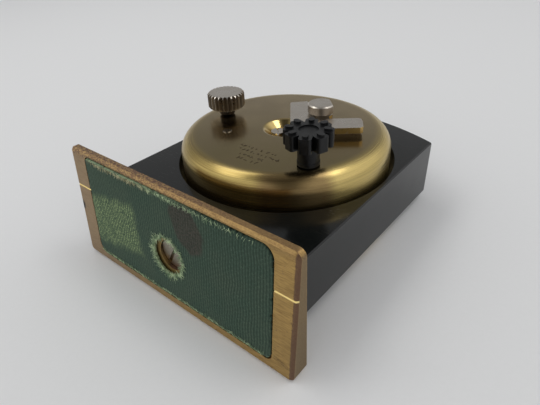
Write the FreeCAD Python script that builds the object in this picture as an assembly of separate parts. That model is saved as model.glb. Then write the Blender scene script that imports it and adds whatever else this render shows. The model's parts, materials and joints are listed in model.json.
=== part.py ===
import FreeCAD, Part
import math
import os

# Small desk alarm clock: a black arched slab on a wedge-shaped brass foot, with a round
# movement whose brass dust cover stands out of the back. Millimetres throughout.
#
# Design frame: X runs across the clock, Y from its foot to its top, Z out of its back, and
# Z = 0 is the case's back face. The clock is finished lying on its face, so the last step
# tips this frame until the bezel and the front of the foot both touch Z = 0.

V = FreeCAD.Vector

# ---- driving dimensions -------------------------------------------------------------------
CASE_WIDTH = 50.8
CASE_HEIGHT = 56.8            # up to the shoulders of the arch
ARCH_RISE = 5.6
CASE_DEPTH = 13.2
CASE_CHAMFER = 0.25
FRONT_WALL = 2.0              # case wall left in front of the movement

MOVEMENT_Y = 33.5             # height of the movement's centre above the foot
COVER_RADIUS = 23.5
COVER_TOP = 6.3               # the dust cover's top above the case's back
COVER_EDGE = 3.3              # radius of the cover's rounded edge
COVER_SHEET = 0.5
DISH_DEPTH = 1.4              # the dish pressed into the middle of the cover
DISH_FLOOR = 3.2
DISH_WALL = 4.6
DISH_LIP = 5.3
CASE_BORE = 24.55
DIAL_OPENING = 22.3

FOOT_WIDTH = 59.4
FOOT_BACK = 7.7               # the foot reaches this far behind the case's back face
FOOT_FRONT = -18.3
FOOT_BEND = -0.95             # the sole changes slope here, along a scribed line
SOLE_AT_BACK = 1.6            # thickness of the wedge at its back, bend and front
SOLE_AT_BEND = 2.4
SOLE_AT_FRONT = 4.1
FOOT_CHAMFER = 0.45
SHARP_CORNER = 0.7
ROUND_CORNER = 1.3
SCRIBE_WIDTH = 0.35
FELT_HALF_WIDTH = 24.95
FELT_SHIFT = 0.15             # the felt sits this far right of the foot's middle
FELT_BACK = 6.8
FELT_FRONT = -16.3
FELT_CORNER = 1.4
FELT_POCKET = 0.6
FELT_PROUD = 0.1              # the felt stands this far out of the sole
FELT_HOLE = 3.9
SCREW_Z = -6.6
SCREW_SEAT = 0.85             # brass left under the head of the screw

BEZEL_OUTER = 23.6
BEZEL_FLAT = 22.4
BEZEL_LIP = 20.8
BEZEL_DEPTH = 2.0
CRYSTAL_RADIUS = 21.5
CRYSTAL_THICKNESS = 0.8
CRYSTAL_DOME = 1.4

DIAL_THICKNESS = 0.4
FRONT_PLATE = (-7.5, -6.5)    # lowest and highest Z of the movement's two plates
BACK_PLATE = (1.5, 2.5)
PLATE_RADIUS = 22.0
PILLAR_CIRCLE = 20.9
PILLAR_ANGLES = (18, 100, 190, 298)

KEY = (5.3, 6.5)              # arbors, measured from the movement's centre
KEY_TURN = 37                 # angle of the key's cross arm from X
SETTING = (-16.3, -1.5)
ALARM = (14.2, -11.1)
THIRD = (-6.39, -2.33)
ESCAPE = (-8.37, 3.12)
LEVER = (-8.98, 6.05)
BALANCE = (-9.5, 8.5)
CLICK = (11.9, 4.1)
HAMMER = (2.0, -14.5)
SCREW = (-1.1, -1.25)         # the cover's screw and the post under it
MINUTE = (-7.254, -4.235)
PIN = (-9.3, -9.0)             # small flat pin in the cover

RUNNING_FIT = 0.05            # radial clearance of every turning fit
TOOTH_GAP = 0.03              # meshing wheels stand this far apart at their tips

HUB_RADIUS = 3.0
HUB_NECK = 1.7
HUB_FLAT = 2.35
HUB_BOTTOM = 2.4              # heights of the key, knobs and collars above the cover
HUB_TOP = 4.7
WING_BOTTOM = 0.95
WING_TOP = 2.3
SETTING_KNOB_RADIUS = 4.35
SETTING_KNOB_BOTTOM = 2.0
SETTING_KNOB_TOP = 5.5
SETTING_COLLAR_RADIUS = 1.85
SETTING_COLLAR_DROP = 1.8     # the knob's collar reaches this far below it
SETTING_KNOB_TEETH = 26
ALARM_KNOB_RADIUS = 4.7
ALARM_KNOB_BOTTOM = 4.4
ALARM_KNOB_TOP = 7.35
ALARM_KNOB_LOBES = 8
ALARM_STEM_RADIUS = 2.15
ALARM_KNOB_PHASE = 0.58       # turn of the first finger from X, in fingers
PIN_RADIUS = 1.0
PIN_SHANK = 0.5

BORE_SPLIT = -CASE_DEPTH + FRONT_WALL
FULL_TURN = 360.0


# ---- shape helpers ------------------------------------------------------------------------
def place(x=0.0, y=0.0, z=0.0):
    """A point measured from the movement's centre."""
    return V(x, MOVEMENT_Y + y, z)


def disc(radius, low, high, at=(0.0, 0.0)):
    return Part.makeCylinder(radius, high - low, place(at[0], at[1], low))


def ring(outer, inner, low, high, at=(0.0, 0.0)):
    return disc(outer, low, high, at).cut(disc(inner, low - 1, high + 1, at))


def outline(start, *steps):
    """Closed wire in the XY plane. A step is a point, or (middle, end) of an arc."""
    edges = []
    here = V(*start, 0)
    for step in steps + (start,):
        if isinstance(step[0], tuple):
            middle, end = V(*step[0], 0), V(*step[1], 0)
            edges.append(Part.Arc(here, middle, end).toShape())
        else:
            end = V(*step, 0)
            if end.distanceToPoint(here) > 1e-7:
                edges.append(Part.makeLine(here, end))
        here = end
    return Part.Wire(edges)


def turned(at, start, *steps):
    """Solid of revolution from an outline in (radius, z)."""
    face = Part.Face(outline(start, *steps))
    face.rotate(V(0, 0, 0), V(1, 0, 0), 90)
    solid = face.revolve(V(0, 0, 0), V(0, 0, 1), FULL_TURN)
    solid.translate(place(at[0], at[1], 0))
    return solid


def plate(low, high, at, turn, start, *steps):
    """Flat piece from an outline, turned about its own origin and set down at a point."""
    solid = Part.Face(outline(start, *steps)).extrude(V(0, 0, high - low))
    solid.rotate(V(0, 0, 0), V(0, 0, 1), turn)
    solid.translate(place(at[0], at[1], low))
    return solid


def arm(first, second, width, low, high):
    """Flat bar with round ends between two points."""
    along = math.degrees(math.atan2(second[1] - first[1], second[0] - first[0]))
    length = math.dist(first, second)
    half = width / 2
    return plate(low, high, first, along, (0, -half), (length, -half),
                 ((length + half, 0), (length, half)), (0, half), ((-half, 0), (0, -half)))


def polar(radius, angle):
    return (radius * math.cos(math.radians(angle)), radius * math.sin(math.radians(angle)))


def toothed(teeth, tip, root, low, high, at, land=0.3):
    """Wheel with straight-sided teeth. land is the share of the pitch flat at each tip."""
    pitch = FULL_TURN / teeth
    points = []
    for number in range(teeth):
        middle = number * pitch
        points.append(polar(root, middle - pitch * 0.5))
        points.append(polar(tip, middle - pitch * land / 2))
        if land:
            points.append(polar(tip, middle + pitch * land / 2))
    return plate(low, high, at, 0, *points)


def wheel(teeth, module, low, high, at, bore, crossings=4):
    """Spoked gear wheel, its tips trimmed to stand just clear of the wheel it drives."""
    tip = teeth * module / 2 - TOOTH_GAP
    root = tip - 1.5 * module
    blank = toothed(teeth, tip, root, low, high, at)
    rim, hub = root - 0.7, bore + 0.9
    if crossings and rim - hub > 1.0:
        window = ring(rim, hub, low, high, at)
        for number in range(crossings):
            end = polar(root, number * FULL_TURN / crossings)
            window = window.cut(arm(at, (at[0] + end[0], at[1] + end[1]), 0.8, low - 1, high + 1))
        blank = blank.cut(window)
    return blank.cut(disc(bore, low - 1, high + 1, at))


def pinion(teeth, module, low, high, at):
    tip = teeth * module / 2 - TOOTH_GAP
    return toothed(teeth, tip, tip - 1.1 * module, low, high, at)


def spiral(inner, outer, turns, thickness, low, high, at):
    """Flat coil spring from half-circles, each a little wider than the last."""
    halves = 2 * turns
    growth = (outer - inner) / halves
    pieces = []
    for number in range(halves):
        side = 1 if number % 2 == 0 else -1
        radius = inner + number * growth
        centre = 0.0 if number % 2 == 0 else -growth
        span = radius + thickness / 2, radius - thickness / 2
        steps = []
        for reach in span:
            steps.append(((centre + reach, 0), (centre, side * reach), (centre - reach, 0)))
        far, near = steps
        pieces.append(plate(low, high, at, 0, far[0], (far[1], far[2]), near[2],
                            (near[1], near[0])))
    return pieces[0].fuse(pieces[1:]).removeSplitter()


def slotted_head(solid, at, top, depth, width, length, turn):
    """Cut a screwdriver slot into the top of a screw."""
    half, side = length / 2, width / 2
    slot = plate(top - depth, top + 1, at, turn, (-half, -side), (half, -side), (half, side),
                 (-half, side))
    return solid.cut(slot)


def arbor(at, radius, pivot):
    """Shaft between the plates with a thinner pivot in each."""
    low, high = FRONT_PLATE[1] + 0.1, BACK_PLATE[0] - 0.1
    body = disc(radius, low, high, at)
    return body.fuse(disc(pivot, FRONT_PLATE[0] + 0.1, BACK_PLATE[1] - 0.1, at))


# ---- case, foot and front -----------------------------------------------------------------
def case_body():
    half = CASE_WIDTH / 2
    face = Part.Face(outline((-half, 0), (half, 0), (half, CASE_HEIGHT),
                             ((0, CASE_HEIGHT + ARCH_RISE), (-half, CASE_HEIGHT))))
    slab = face.extrude(V(0, 0, CASE_DEPTH))
    slab.translate(V(0, 0, -CASE_DEPTH))
    slab = slab.makeChamfer(CASE_CHAMFER, slab.Edges)
    slab = slab.cut(disc(CASE_BORE, BORE_SPLIT, 1))
    slab = slab.cut(disc(DIAL_OPENING, -CASE_DEPTH - 1, BORE_SPLIT + 1))
    return slab.cut(Part.makeCylinder(1.5, 7.5, V(0, 0, SCREW_Z), V(0, 1, 0)))


def sole_slab(inner, outer):
    """Slab that follows the sole's two slopes, from inner to outer millimetres outside it."""
    points = []
    for height, thickness in ((FOOT_BACK + 2, SOLE_AT_BACK - 2 * back_slope()),
                              (FOOT_BEND, SOLE_AT_BEND),
                              (FOOT_FRONT - 2, SOLE_AT_FRONT + 2 * front_slope())):
        points.append((height, thickness))
    near = [V(0, -(thickness + inner), height) for height, thickness in points]
    far = [V(0, -(thickness + outer), height) for height, thickness in reversed(points)]
    face = Part.Face(Part.makePolygon(near + far + near[:1]))
    slab = face.extrude(V(FOOT_WIDTH + 2, 0, 0))
    slab.translate(V(-FOOT_WIDTH / 2 - 1, 0, 0))
    return slab


def back_slope():
    return (SOLE_AT_BEND - SOLE_AT_BACK) / (FOOT_BACK - FOOT_BEND)


def front_slope():
    return (SOLE_AT_FRONT - SOLE_AT_BEND) / (FOOT_BEND - FOOT_FRONT)


def rounded_block(half, low, high, corners, depth):
    """Block along -Y with four corner radii, listed from the low left one anticlockwise."""
    low_left, low_right, high_right, high_left = corners
    nip = 1 - math.sqrt(0.5)
    wire = outline((-half + low_left, low), (half - low_right, low),
                   ((half - low_right * nip, low + low_right * nip), (half, low + low_right)),
                   (half, high - high_right),
                   ((half - high_right * nip, high - high_right * nip), (half - high_right, high)),
                   (-half + high_left, high),
                   ((-half + high_left * nip, high - high_left * nip), (-half, high - high_left)),
                   (-half, low + low_left),
                   ((-half + low_left * nip, low + low_left * nip), (-half + low_left, low)))
    face = Part.Face(wire)
    face.rotate(V(0, 0, 0), V(1, 0, 0), 90)
    return face.extrude(V(0, -depth, 0))


def foot_plate():
    corners = (ROUND_CORNER, SHARP_CORNER, ROUND_CORNER, SHARP_CORNER)
    blank = rounded_block(FOOT_WIDTH / 2, FOOT_FRONT, FOOT_BACK, corners, 12)
    wedge = blank.cut(sole_slab(0, 20))
    sole = [edge for edge in wedge.Edges if edge_is_on_sole(edge)]
    wedge = wedge.makeChamfer(FOOT_CHAMFER, sole)
    wedge = wedge.cut(felt_block(0.1).common(sole_slab(-FELT_POCKET, 5)))
    scribe = Part.makeBox(FOOT_WIDTH, SCRIBE_WIDTH, SCRIBE_WIDTH)
    scribe.rotate(V(0, 0, 0), V(1, 0, 0), 45)
    scribe.translate(V(-FOOT_WIDTH / 2, -SOLE_AT_BEND, FOOT_BEND - SCRIBE_WIDTH * math.sqrt(0.5)))
    wedge = wedge.cut(scribe)
    wedge = wedge.cut(Part.makeCylinder(3.2, 10, V(0, -SCREW_SEAT, SCREW_Z), V(0, -1, 0)))
    return wedge.cut(Part.makeCylinder(1.6, 10, V(0, 1, SCREW_Z), V(0, -1, 0)))


def edge_is_on_sole(edge):
    """True for the sole's own outline, and not for the bend across it."""
    for vertex in edge.Vertexes:
        height = vertex.Point.z
        if height > FOOT_BEND:
            thickness = SOLE_AT_BEND - (height - FOOT_BEND) * back_slope()
        else:
            thickness = SOLE_AT_BEND + (FOOT_BEND - height) * front_slope()
        if abs(vertex.Point.y + thickness) > 1e-4:
            return False
    ends = [abs(vertex.Point.z - FOOT_BEND) < 1e-4 for vertex in edge.Vertexes]
    return not all(ends)


def felt_block(grow):
    corners = (FELT_CORNER + 1.0, FELT_CORNER, FELT_CORNER + 1.0, FELT_CORNER)
    block = rounded_block(FELT_HALF_WIDTH + grow, FELT_FRONT - grow, FELT_BACK + grow, corners, 12)
    block.translate(V(FELT_SHIFT, 0, 0))
    return block


def foot_felt():
    felt = felt_block(0).common(sole_slab(-FELT_POCKET, FELT_PROUD))
    return felt.cut(Part.makeCylinder(FELT_HOLE, 12, V(0, 1, SCREW_Z), V(0, -1, 0)))


def foot_screw():
    head = Part.makeCylinder(3.0, 1.1, V(0, -SCREW_SEAT, SCREW_Z), V(0, -1, 0))
    shank = Part.makeCylinder(1.5, 7.0 + SCREW_SEAT, V(0, -SCREW_SEAT, SCREW_Z), V(0, 1, 0))
    slot = Part.makeBox(0.7, 1.0, 7.0, V(-0.35, -SCREW_SEAT - 1.6, -3.5))
    slot.rotate(V(0, 0, 0), V(0, 1, 0), 30)
    slot.translate(V(0, 0, SCREW_Z))
    return head.fuse(shank).removeSplitter().cut(slot)


def bezel():
    front = -CASE_DEPTH - BEZEL_DEPTH
    edge = BEZEL_OUTER - BEZEL_FLAT
    return turned((0, 0), (DIAL_OPENING - 0.1, -CASE_DEPTH + 1.0), (DIAL_OPENING - 0.1, -CASE_DEPTH),
                  (BEZEL_OUTER, -CASE_DEPTH), (BEZEL_OUTER, front + edge), (BEZEL_FLAT, front),
                  (BEZEL_LIP + 0.3, front), (BEZEL_LIP, front + 0.3), (BEZEL_LIP, front + 0.7),
                  (CRYSTAL_RADIUS, front + 0.7), (CRYSTAL_RADIUS, -CASE_DEPTH + 1.0))


def crystal():
    rim = -CASE_DEPTH - BEZEL_DEPTH + 0.7
    back = rim + CRYSTAL_THICKNESS
    clear = BEZEL_LIP - 0.2
    sphere = (clear ** 2 + CRYSTAL_DOME ** 2) / (2 * CRYSTAL_DOME)
    halfway = CRYSTAL_DOME - sphere + math.sqrt(sphere ** 2 - clear ** 2 / 4)
    return turned((0, 0), (0, rim - CRYSTAL_DOME), ((clear / 2, rim - halfway), (clear, rim)),
                  (CRYSTAL_RADIUS, rim), (CRYSTAL_RADIUS, back), (clear, back),
                  ((clear / 2, back - halfway), (0, back - CRYSTAL_DOME)))


def dial():
    return ring(CASE_BORE - 1.4, 1.9, BORE_SPLIT, BORE_SPLIT + DIAL_THICKNESS)


def hour_markers():
    markers = []
    for hour in range(12):
        long_mark = hour % 3 == 0
        start, width = (15.4, 0.9) if long_mark else (16.8, 0.55)
        angle = hour * FULL_TURN / 12
        markers.append(arm(polar(start, angle), polar(19.2, angle), width,
                           BORE_SPLIT - 0.15, BORE_SPLIT))
    return Part.makeCompound(markers)


def mounting_ring():
    return ring(CASE_BORE - 0.05, COVER_RADIUS + 0.05, BORE_SPLIT + DIAL_THICKNESS, -8.6)


# ---- dust cover and plates ----------------------------------------------------------------
def movement_cover():
    top, under = COVER_TOP, COVER_TOP - COVER_SHEET
    skirt = BORE_SPLIT + DIAL_THICKNESS + 0.2
    flat = COVER_RADIUS - COVER_EDGE
    shoulder = top - COVER_EDGE
    bow = COVER_EDGE * math.sqrt(0.5)
    inner = COVER_EDGE - COVER_SHEET
    inner_bow = inner * math.sqrt(0.5)
    cover = turned((0, 0), (COVER_RADIUS, skirt), (COVER_RADIUS, shoulder),
                   ((flat + bow, shoulder + bow), (flat, top)), (0, top), (0, under),
                   (flat, under),
                   ((flat + inner_bow, shoulder + inner_bow), (COVER_RADIUS - COVER_SHEET, shoulder)),
                   (COVER_RADIUS - COVER_SHEET, skirt))
    floor = top - DISH_DEPTH
    cup = turned((0, 0), (0, floor - COVER_SHEET), (DISH_FLOOR + 0.2, floor - COVER_SHEET),
                 (DISH_WALL + 0.4, under), (DISH_WALL + 0.4, under + 0.1), (0, under + 0.1))
    dish = turned((0, 0), (0, floor), (DISH_FLOOR, floor), (DISH_WALL, top - 0.25),
                  ((DISH_WALL + 0.27, top - 0.07), (DISH_LIP, top)), (DISH_LIP, top + 1),
                  (0, top + 1))
    cover = cover.fuse(cup).removeSplitter().cut(dish)
    for at, radius in ((KEY, 2.3), (SETTING, 0.95), (ALARM, 1.4), (SCREW, 0.8), (PIN, PIN_SHANK)):
        cover = cover.cut(disc(radius, 0, 20, at))
    return cover


def cover_screw():
    floor = COVER_TOP - DISH_DEPTH
    screw = disc(1.5, floor, floor + 0.7, SCREW).fuse(disc(0.7, floor - 2.0, floor, SCREW))
    return slotted_head(screw.removeSplitter(), SCREW, floor + 0.7, 0.4, 0.4, 5, 131)


def cover_post():
    post = disc(2.0, BACK_PLATE[1], COVER_TOP - DISH_DEPTH - COVER_SHEET, SCREW)
    return post.cut(disc(0.7, COVER_TOP - 3.4, 20, SCREW))


def cover_pin():
    tail, head, edge = COVER_TOP - COVER_SHEET - 0.3, COVER_TOP + 0.22, 0.14
    return turned(PIN, (0, tail), (PIN_SHANK, tail), (PIN_SHANK, COVER_TOP), (PIN_RADIUS, COVER_TOP),
                  (PIN_RADIUS, head - edge), (PIN_RADIUS - edge, head), (0, head))


def pierced_plate(levels, holes):
    blank = disc(PLATE_RADIUS, *levels)
    for at, radius in holes:
        blank = blank.cut(disc(radius, levels[0] - 1, levels[1] + 1, at))
    return blank


def pivot_holes():
    fine = 0.3 + RUNNING_FIT
    return [(at, fine) for at in (THIRD, ESCAPE, LEVER, HAMMER)]


def pillar_points():
    return [polar(PILLAR_CIRCLE, angle) for angle in PILLAR_ANGLES]


def front_plate():
    holes = pivot_holes() + [((0, 0), 0.6 + RUNNING_FIT), (BALANCE, 0.3 + RUNNING_FIT),
                             (KEY, 0.7 + RUNNING_FIT), (SETTING, 0.8 + RUNNING_FIT),
                             (ALARM, 1.0 + RUNNING_FIT)]
    stud = disc(0.6, -9.9, FRONT_PLATE[0], MINUTE)
    return pierced_plate(FRONT_PLATE, holes).fuse(stud)


def back_plate():
    holes = pivot_holes() + [((0, 0), 0.35 + RUNNING_FIT), (BALANCE, 0.7),
                             (KEY, 1.6 + RUNNING_FIT), (SETTING, 0.8 + RUNNING_FIT),
                             (ALARM, 1.0 + RUNNING_FIT)]
    return pierced_plate(BACK_PLATE, holes)


def plate_pillars():
    return Part.makeCompound([disc(1.1, FRONT_PLATE[1], BACK_PLATE[0], at)
                              for at in pillar_points()])


def plate_screws():
    screws = []
    for at, angle in zip(pillar_points(), PILLAR_ANGLES):
        head = disc(0.95, BACK_PLATE[1], BACK_PLATE[1] + 0.6, at)
        screws.append(slotted_head(head, at, BACK_PLATE[1] + 0.6, 0.3, 0.3, 3, angle * 1.7))
    return Part.makeCompound(screws)


# ---- winding key and its ratchet ----------------------------------------------------------
def winding_arbor():
    body = disc(1.2, FRONT_PLATE[1] + 0.1, 1.2, KEY).fuse(disc(1.6, 1.2, COVER_TOP + HUB_BOTTOM, KEY))
    body = body.fuse(disc(0.7, FRONT_PLATE[0] + 0.1, FRONT_PLATE[1] + 0.1, KEY))
    return body.fuse(disc(1.2, COVER_TOP + HUB_BOTTOM, COVER_TOP + HUB_TOP - 0.8, KEY))


def ratchet_wheel():
    teeth = toothed(24, 4.2, 3.6, 2.9, 3.6, KEY, land=0.1)
    return teeth.cut(disc(1.6, 0, 9, KEY))


def key_hub():
    low, high = COVER_TOP + HUB_BOTTOM, COVER_TOP + HUB_TOP
    hub = turned(KEY, (0, low), (HUB_NECK, low), (HUB_NECK, low + 0.45), (HUB_RADIUS, low + 0.45),
                 (HUB_RADIUS, high - 0.25), (HUB_RADIUS - 0.25, high), (0, high))
    waste = plate(low - 1, high + 1, KEY, KEY_TURN + 7, (HUB_FLAT, -5), (9, -5), (9, 5),
                  (HUB_FLAT, 5))
    edge = HUB_RADIUS * math.sqrt(0.5)
    lip = plate(high - 0.25, high + 1, KEY, KEY_TURN + 7, (HUB_FLAT - 0.2, -edge),
                (HUB_FLAT + 1, -edge), (HUB_FLAT + 1, edge), (HUB_FLAT - 0.2, edge))
    return hub.cut(waste).cut(lip).cut(disc(1.2, low - 1, high - 0.8, KEY))


def key_wing():
    low, high = COVER_TOP + WING_BOTTOM, COVER_TOP + WING_TOP
    wing = plate(low, high, KEY, KEY_TURN, (-6.9, -7.6), ((-6.67, -8.17), (-6.1, -8.4)),
                 (7.7, -8.3), (8.35, -7.8), (8.6, -5.0), (8.4, -3.6), (7.9, -3.3), (-2.65, -3.3),
                 (-2.65, 7.1), (-3.0, 7.4), (-6.5, 7.0), (-6.85, 6.6))
    lug = disc(2.6, low, high, KEY)
    bridge = plate(low, high, KEY, KEY_TURN, (-3.2, -3.8), (1.6, -3.8), (1.6, 0), (-3.2, 0))
    wing = wing.fuse([lug, bridge]).removeSplitter()
    return wing.cut(disc(1.6, low - 1, high + 1, KEY))


def click():
    tip = (KEY[0] + 1.78, KEY[1] - 4.89)
    lever = arm(CLICK, tip, 1.2, 2.9, 3.5)
    return lever.cut(disc(0.5 + RUNNING_FIT, 2, 5, CLICK))


def click_stud():
    return disc(0.5, BACK_PLATE[1], 3.7, CLICK)


def click_spring():
    foot = disc(0.9, BACK_PLATE[1], 3.4, (13.2, -2.0))
    blade = arm((13.2, -2.0), (8.4, -0.9), 0.3, 2.9, 3.4)
    return foot.fuse(blade)


# ---- going train --------------------------------------------------------------------------
def barrel():
    drum = disc(6.6, -5.8, 0.4, KEY).fuse(toothed(72, 7.2 - TOOTH_GAP, 6.87, -5.8, -5.0, KEY))
    drum = drum.cut(disc(6.1, -5.3, -0.1, KEY))
    return drum.removeSplitter().cut(disc(1.2 + RUNNING_FIT, -9, 9, KEY))


def mainspring():
    return spiral(1.9, 5.7, 6, 0.3, -5.1, -0.3, KEY)


def centre_wheel():
    shaft = disc(0.6, -12.7, BACK_PLATE[0] - 0.1).fuse(disc(0.35, 0, BACK_PLATE[1] - 0.1))
    shaft = shaft.fuse(pinion(10, 0.2, -5.9, -4.9, (0, 0)))
    return shaft.fuse(wheel(60, 0.2, 0.7, 1.1, (0, 0), 0.6))


def third_wheel():
    shaft = arbor(THIRD, 0.45, 0.3).fuse(pinion(8, 0.2, 0.5, 1.3, THIRD))
    return shaft.fuse(wheel(50, 0.2, -0.6, -0.2, THIRD, 0.45))


def escape_wheel():
    shaft = arbor(ESCAPE, 0.45, 0.3).fuse(pinion(8, 0.2, -0.8, 0.0, ESCAPE))
    return shaft.fuse(toothed(15, 2.15, 1.5, -2.0, -1.6, ESCAPE, land=0.0))


def pallet_lever():
    toward = math.degrees(math.atan2(BALANCE[1] - LEVER[1], BALANCE[0] - LEVER[0]))
    body = plate(-2.0, -1.6, LEVER, toward, (-0.35, -1.7), (0.35, -1.7), (0.35, -0.25),
                 (1.5, -0.25), (1.5, 0.25), (0.35, 0.25), (0.35, 1.7), (-0.35, 1.7))
    pallets = []
    for side in (-1, 1):
        low, high = sorted((side * 1.3, side * 1.7))
        pallets.append(plate(-2.0, -1.6, LEVER, toward, (-1.0, low), (-0.35, low), (-0.35, high),
                             (-1.0, high)))
    return body.fuse(pallets + [arbor(LEVER, 0.4, 0.3)]).removeSplitter()


def balance_wheel():
    rim = ring(6.0, 5.2, 3.0, 3.7, BALANCE)
    spokes = []
    for side in (20, 200):
        end = polar(5.6, side)
        spokes.append(arm(BALANCE, (BALANCE[0] + end[0], BALANCE[1] + end[1]), 0.8, 3.1, 3.6))
    staff = disc(0.4, FRONT_PLATE[1] + 0.1, 4.4, BALANCE)
    pivot = disc(0.3, FRONT_PLATE[0] + 0.1, 5.1, BALANCE)
    roller = disc(1.1, -1.3, -1.0, BALANCE)
    return rim.fuse(spokes + [staff, pivot, roller]).removeSplitter()


def hairspring():
    coil = spiral(0.9, 3.2, 5, 0.16, 3.9, 4.2, BALANCE)
    collet = ring(0.9, 0.4, 3.85, 4.25, BALANCE)
    return coil.fuse(collet).removeSplitter()


def balance_cock():
    foot_at = (-15.2, 13.3)
    foot = disc(1.1, BACK_PLATE[1], 5.3, foot_at)
    bridge = arm(foot_at, BALANCE, 2.0, 4.6, 5.3)
    return foot.fuse(bridge).removeSplitter().cut(disc(0.3 + RUNNING_FIT, 4, 6, BALANCE))


# ---- motion work, hands and alarm ---------------------------------------------------------
def cannon_pinion():
    pipe = disc(0.9, -12.35, -9.0).fuse(pinion(12, 0.35, -9.0, -8.2, (0, 0)))
    return pipe.cut(disc(0.6, -20, 0))


def minute_wheel():
    body = wheel(36, 0.35, -8.9, -8.4, MINUTE, 0.6 + RUNNING_FIT)
    leaves = pinion(10, 0.336, -9.8, -8.9, MINUTE).cut(disc(0.6 + RUNNING_FIT, -20, 0, MINUTE))
    return body.fuse(leaves)


def hour_wheel():
    pipe = disc(1.3, -11.85, -9.3)
    body = pipe.fuse(wheel(40, 0.336, -9.7, -9.3, (0, 0), 1.3))
    return body.cut(disc(0.9 + RUNNING_FIT, -20, 0))


def alarm_module():
    return 2 * math.hypot(*ALARM) / (60 + 20)


def alarm_wheel():
    pipe = disc(1.7, -11.45, -10.0)
    body = pipe.fuse(wheel(60, alarm_module(), -10.4, -10.0, (0, 0), 1.7))
    return body.cut(disc(1.3 + RUNNING_FIT, -20, 0))


def hand(low, high, angle, bore, boss, reach, width):
    """Tapered hand with a round boss, pointing at an angle measured from X."""
    blade = plate(low, high, (0, 0), angle, (0, -width / 2), (reach * 0.7, -width / 2),
                  (reach, 0), (reach * 0.7, width / 2), (0, width / 2))
    return blade.fuse(disc(boss, low, high)).removeSplitter().cut(disc(bore, low - 1, high + 1))


def setting_arbor():
    shaft = disc(0.8, -9.3, COVER_TOP + SETTING_KNOB_BOTTOM + 1.6, SETTING)
    leaves = pinion(18, 0.35, -8.9, -8.3, SETTING)
    low = COVER_TOP + SETTING_KNOB_BOTTOM
    wide, foot = SETTING_COLLAR_RADIUS, low - SETTING_COLLAR_DROP
    collar = turned(SETTING, (0, foot), (wide - 0.25, foot), (wide, foot + 0.25), (wide, low),
                    (0, low))
    return shaft.fuse([leaves, collar]).removeSplitter()


def setting_knob():
    low, high = COVER_TOP + SETTING_KNOB_BOTTOM, COVER_TOP + SETTING_KNOB_TOP
    root = SETTING_KNOB_RADIUS - 0.75
    knob = toothed(SETTING_KNOB_TEETH, SETTING_KNOB_RADIUS, root, low, high, SETTING, land=0.06)
    bevel = 0.4
    blank = turned(SETTING, (0, low), (SETTING_KNOB_RADIUS - bevel, low),
                   (SETTING_KNOB_RADIUS + 0.02, low + bevel),
                   (SETTING_KNOB_RADIUS + 0.02, high - bevel),
                   (SETTING_KNOB_RADIUS - bevel, high), (0, high))
    return knob.common(blank).cut(disc(0.8, low - 1, low + 1.6, SETTING))


def alarm_arbor():
    shaft = disc(1.0, -10.4, COVER_TOP + ALARM_KNOB_BOTTOM + 1.4, ALARM)
    return shaft.fuse(pinion(20, alarm_module(), -10.4, -10.0, ALARM))


def alarm_knob():
    foot, low, high = COVER_TOP + 0.25, COVER_TOP + ALARM_KNOB_BOTTOM, COVER_TOP + ALARM_KNOB_TOP
    pieces = [disc(ALARM_STEM_RADIUS, foot, low, ALARM),
              disc(ALARM_STEM_RADIUS + 0.1, foot, foot + 0.7, ALARM)]
    for number in range(ALARM_KNOB_LOBES):
        angle = (number + ALARM_KNOB_PHASE) * FULL_TURN / ALARM_KNOB_LOBES
        pieces.append(alarm_lobe(angle, low, high))
        middle = polar(ALARM_KNOB_RADIUS - 1.35, angle)
        tip = polar(ALARM_KNOB_RADIUS - 0.85, angle)
        pieces.append(arm((ALARM[0] + middle[0], ALARM[1] + middle[1]),
                          (ALARM[0] + tip[0], ALARM[1] + tip[1]), 1.1, high - 0.1, high + 0.45))
    knob = disc(3.1, low, high, ALARM).fuse(pieces).removeSplitter()
    knob = knob.cut(disc(1.9, high - 0.3, high + 1, ALARM))
    return knob.cut(disc(1.0, 0, low + 1.4, ALARM))


def alarm_lobe(angle, low, high):
    """One blunt finger of the alarm knob, its outer corners rounded."""
    half, corner, end = 1.2, 0.55, ALARM_KNOB_RADIUS
    nip = corner * (1 - math.sqrt(0.5))
    return plate(low, high, ALARM, angle, (2.0, -half), (end - corner, -half),
                 ((end - nip, nip - half), (end, corner - half)), (end, half - corner),
                 ((end - nip, half - nip), (end - corner, half)), (2.0, half))


def alarm_hammer():
    head_at = (-4.5, -17.5)
    shank = arm(HAMMER, head_at, 0.9, -0.9, -0.2)
    return shank.fuse([disc(1.5, -1.5, 0.5, head_at), arbor(HAMMER, 0.45, 0.3)]).removeSplitter()


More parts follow.
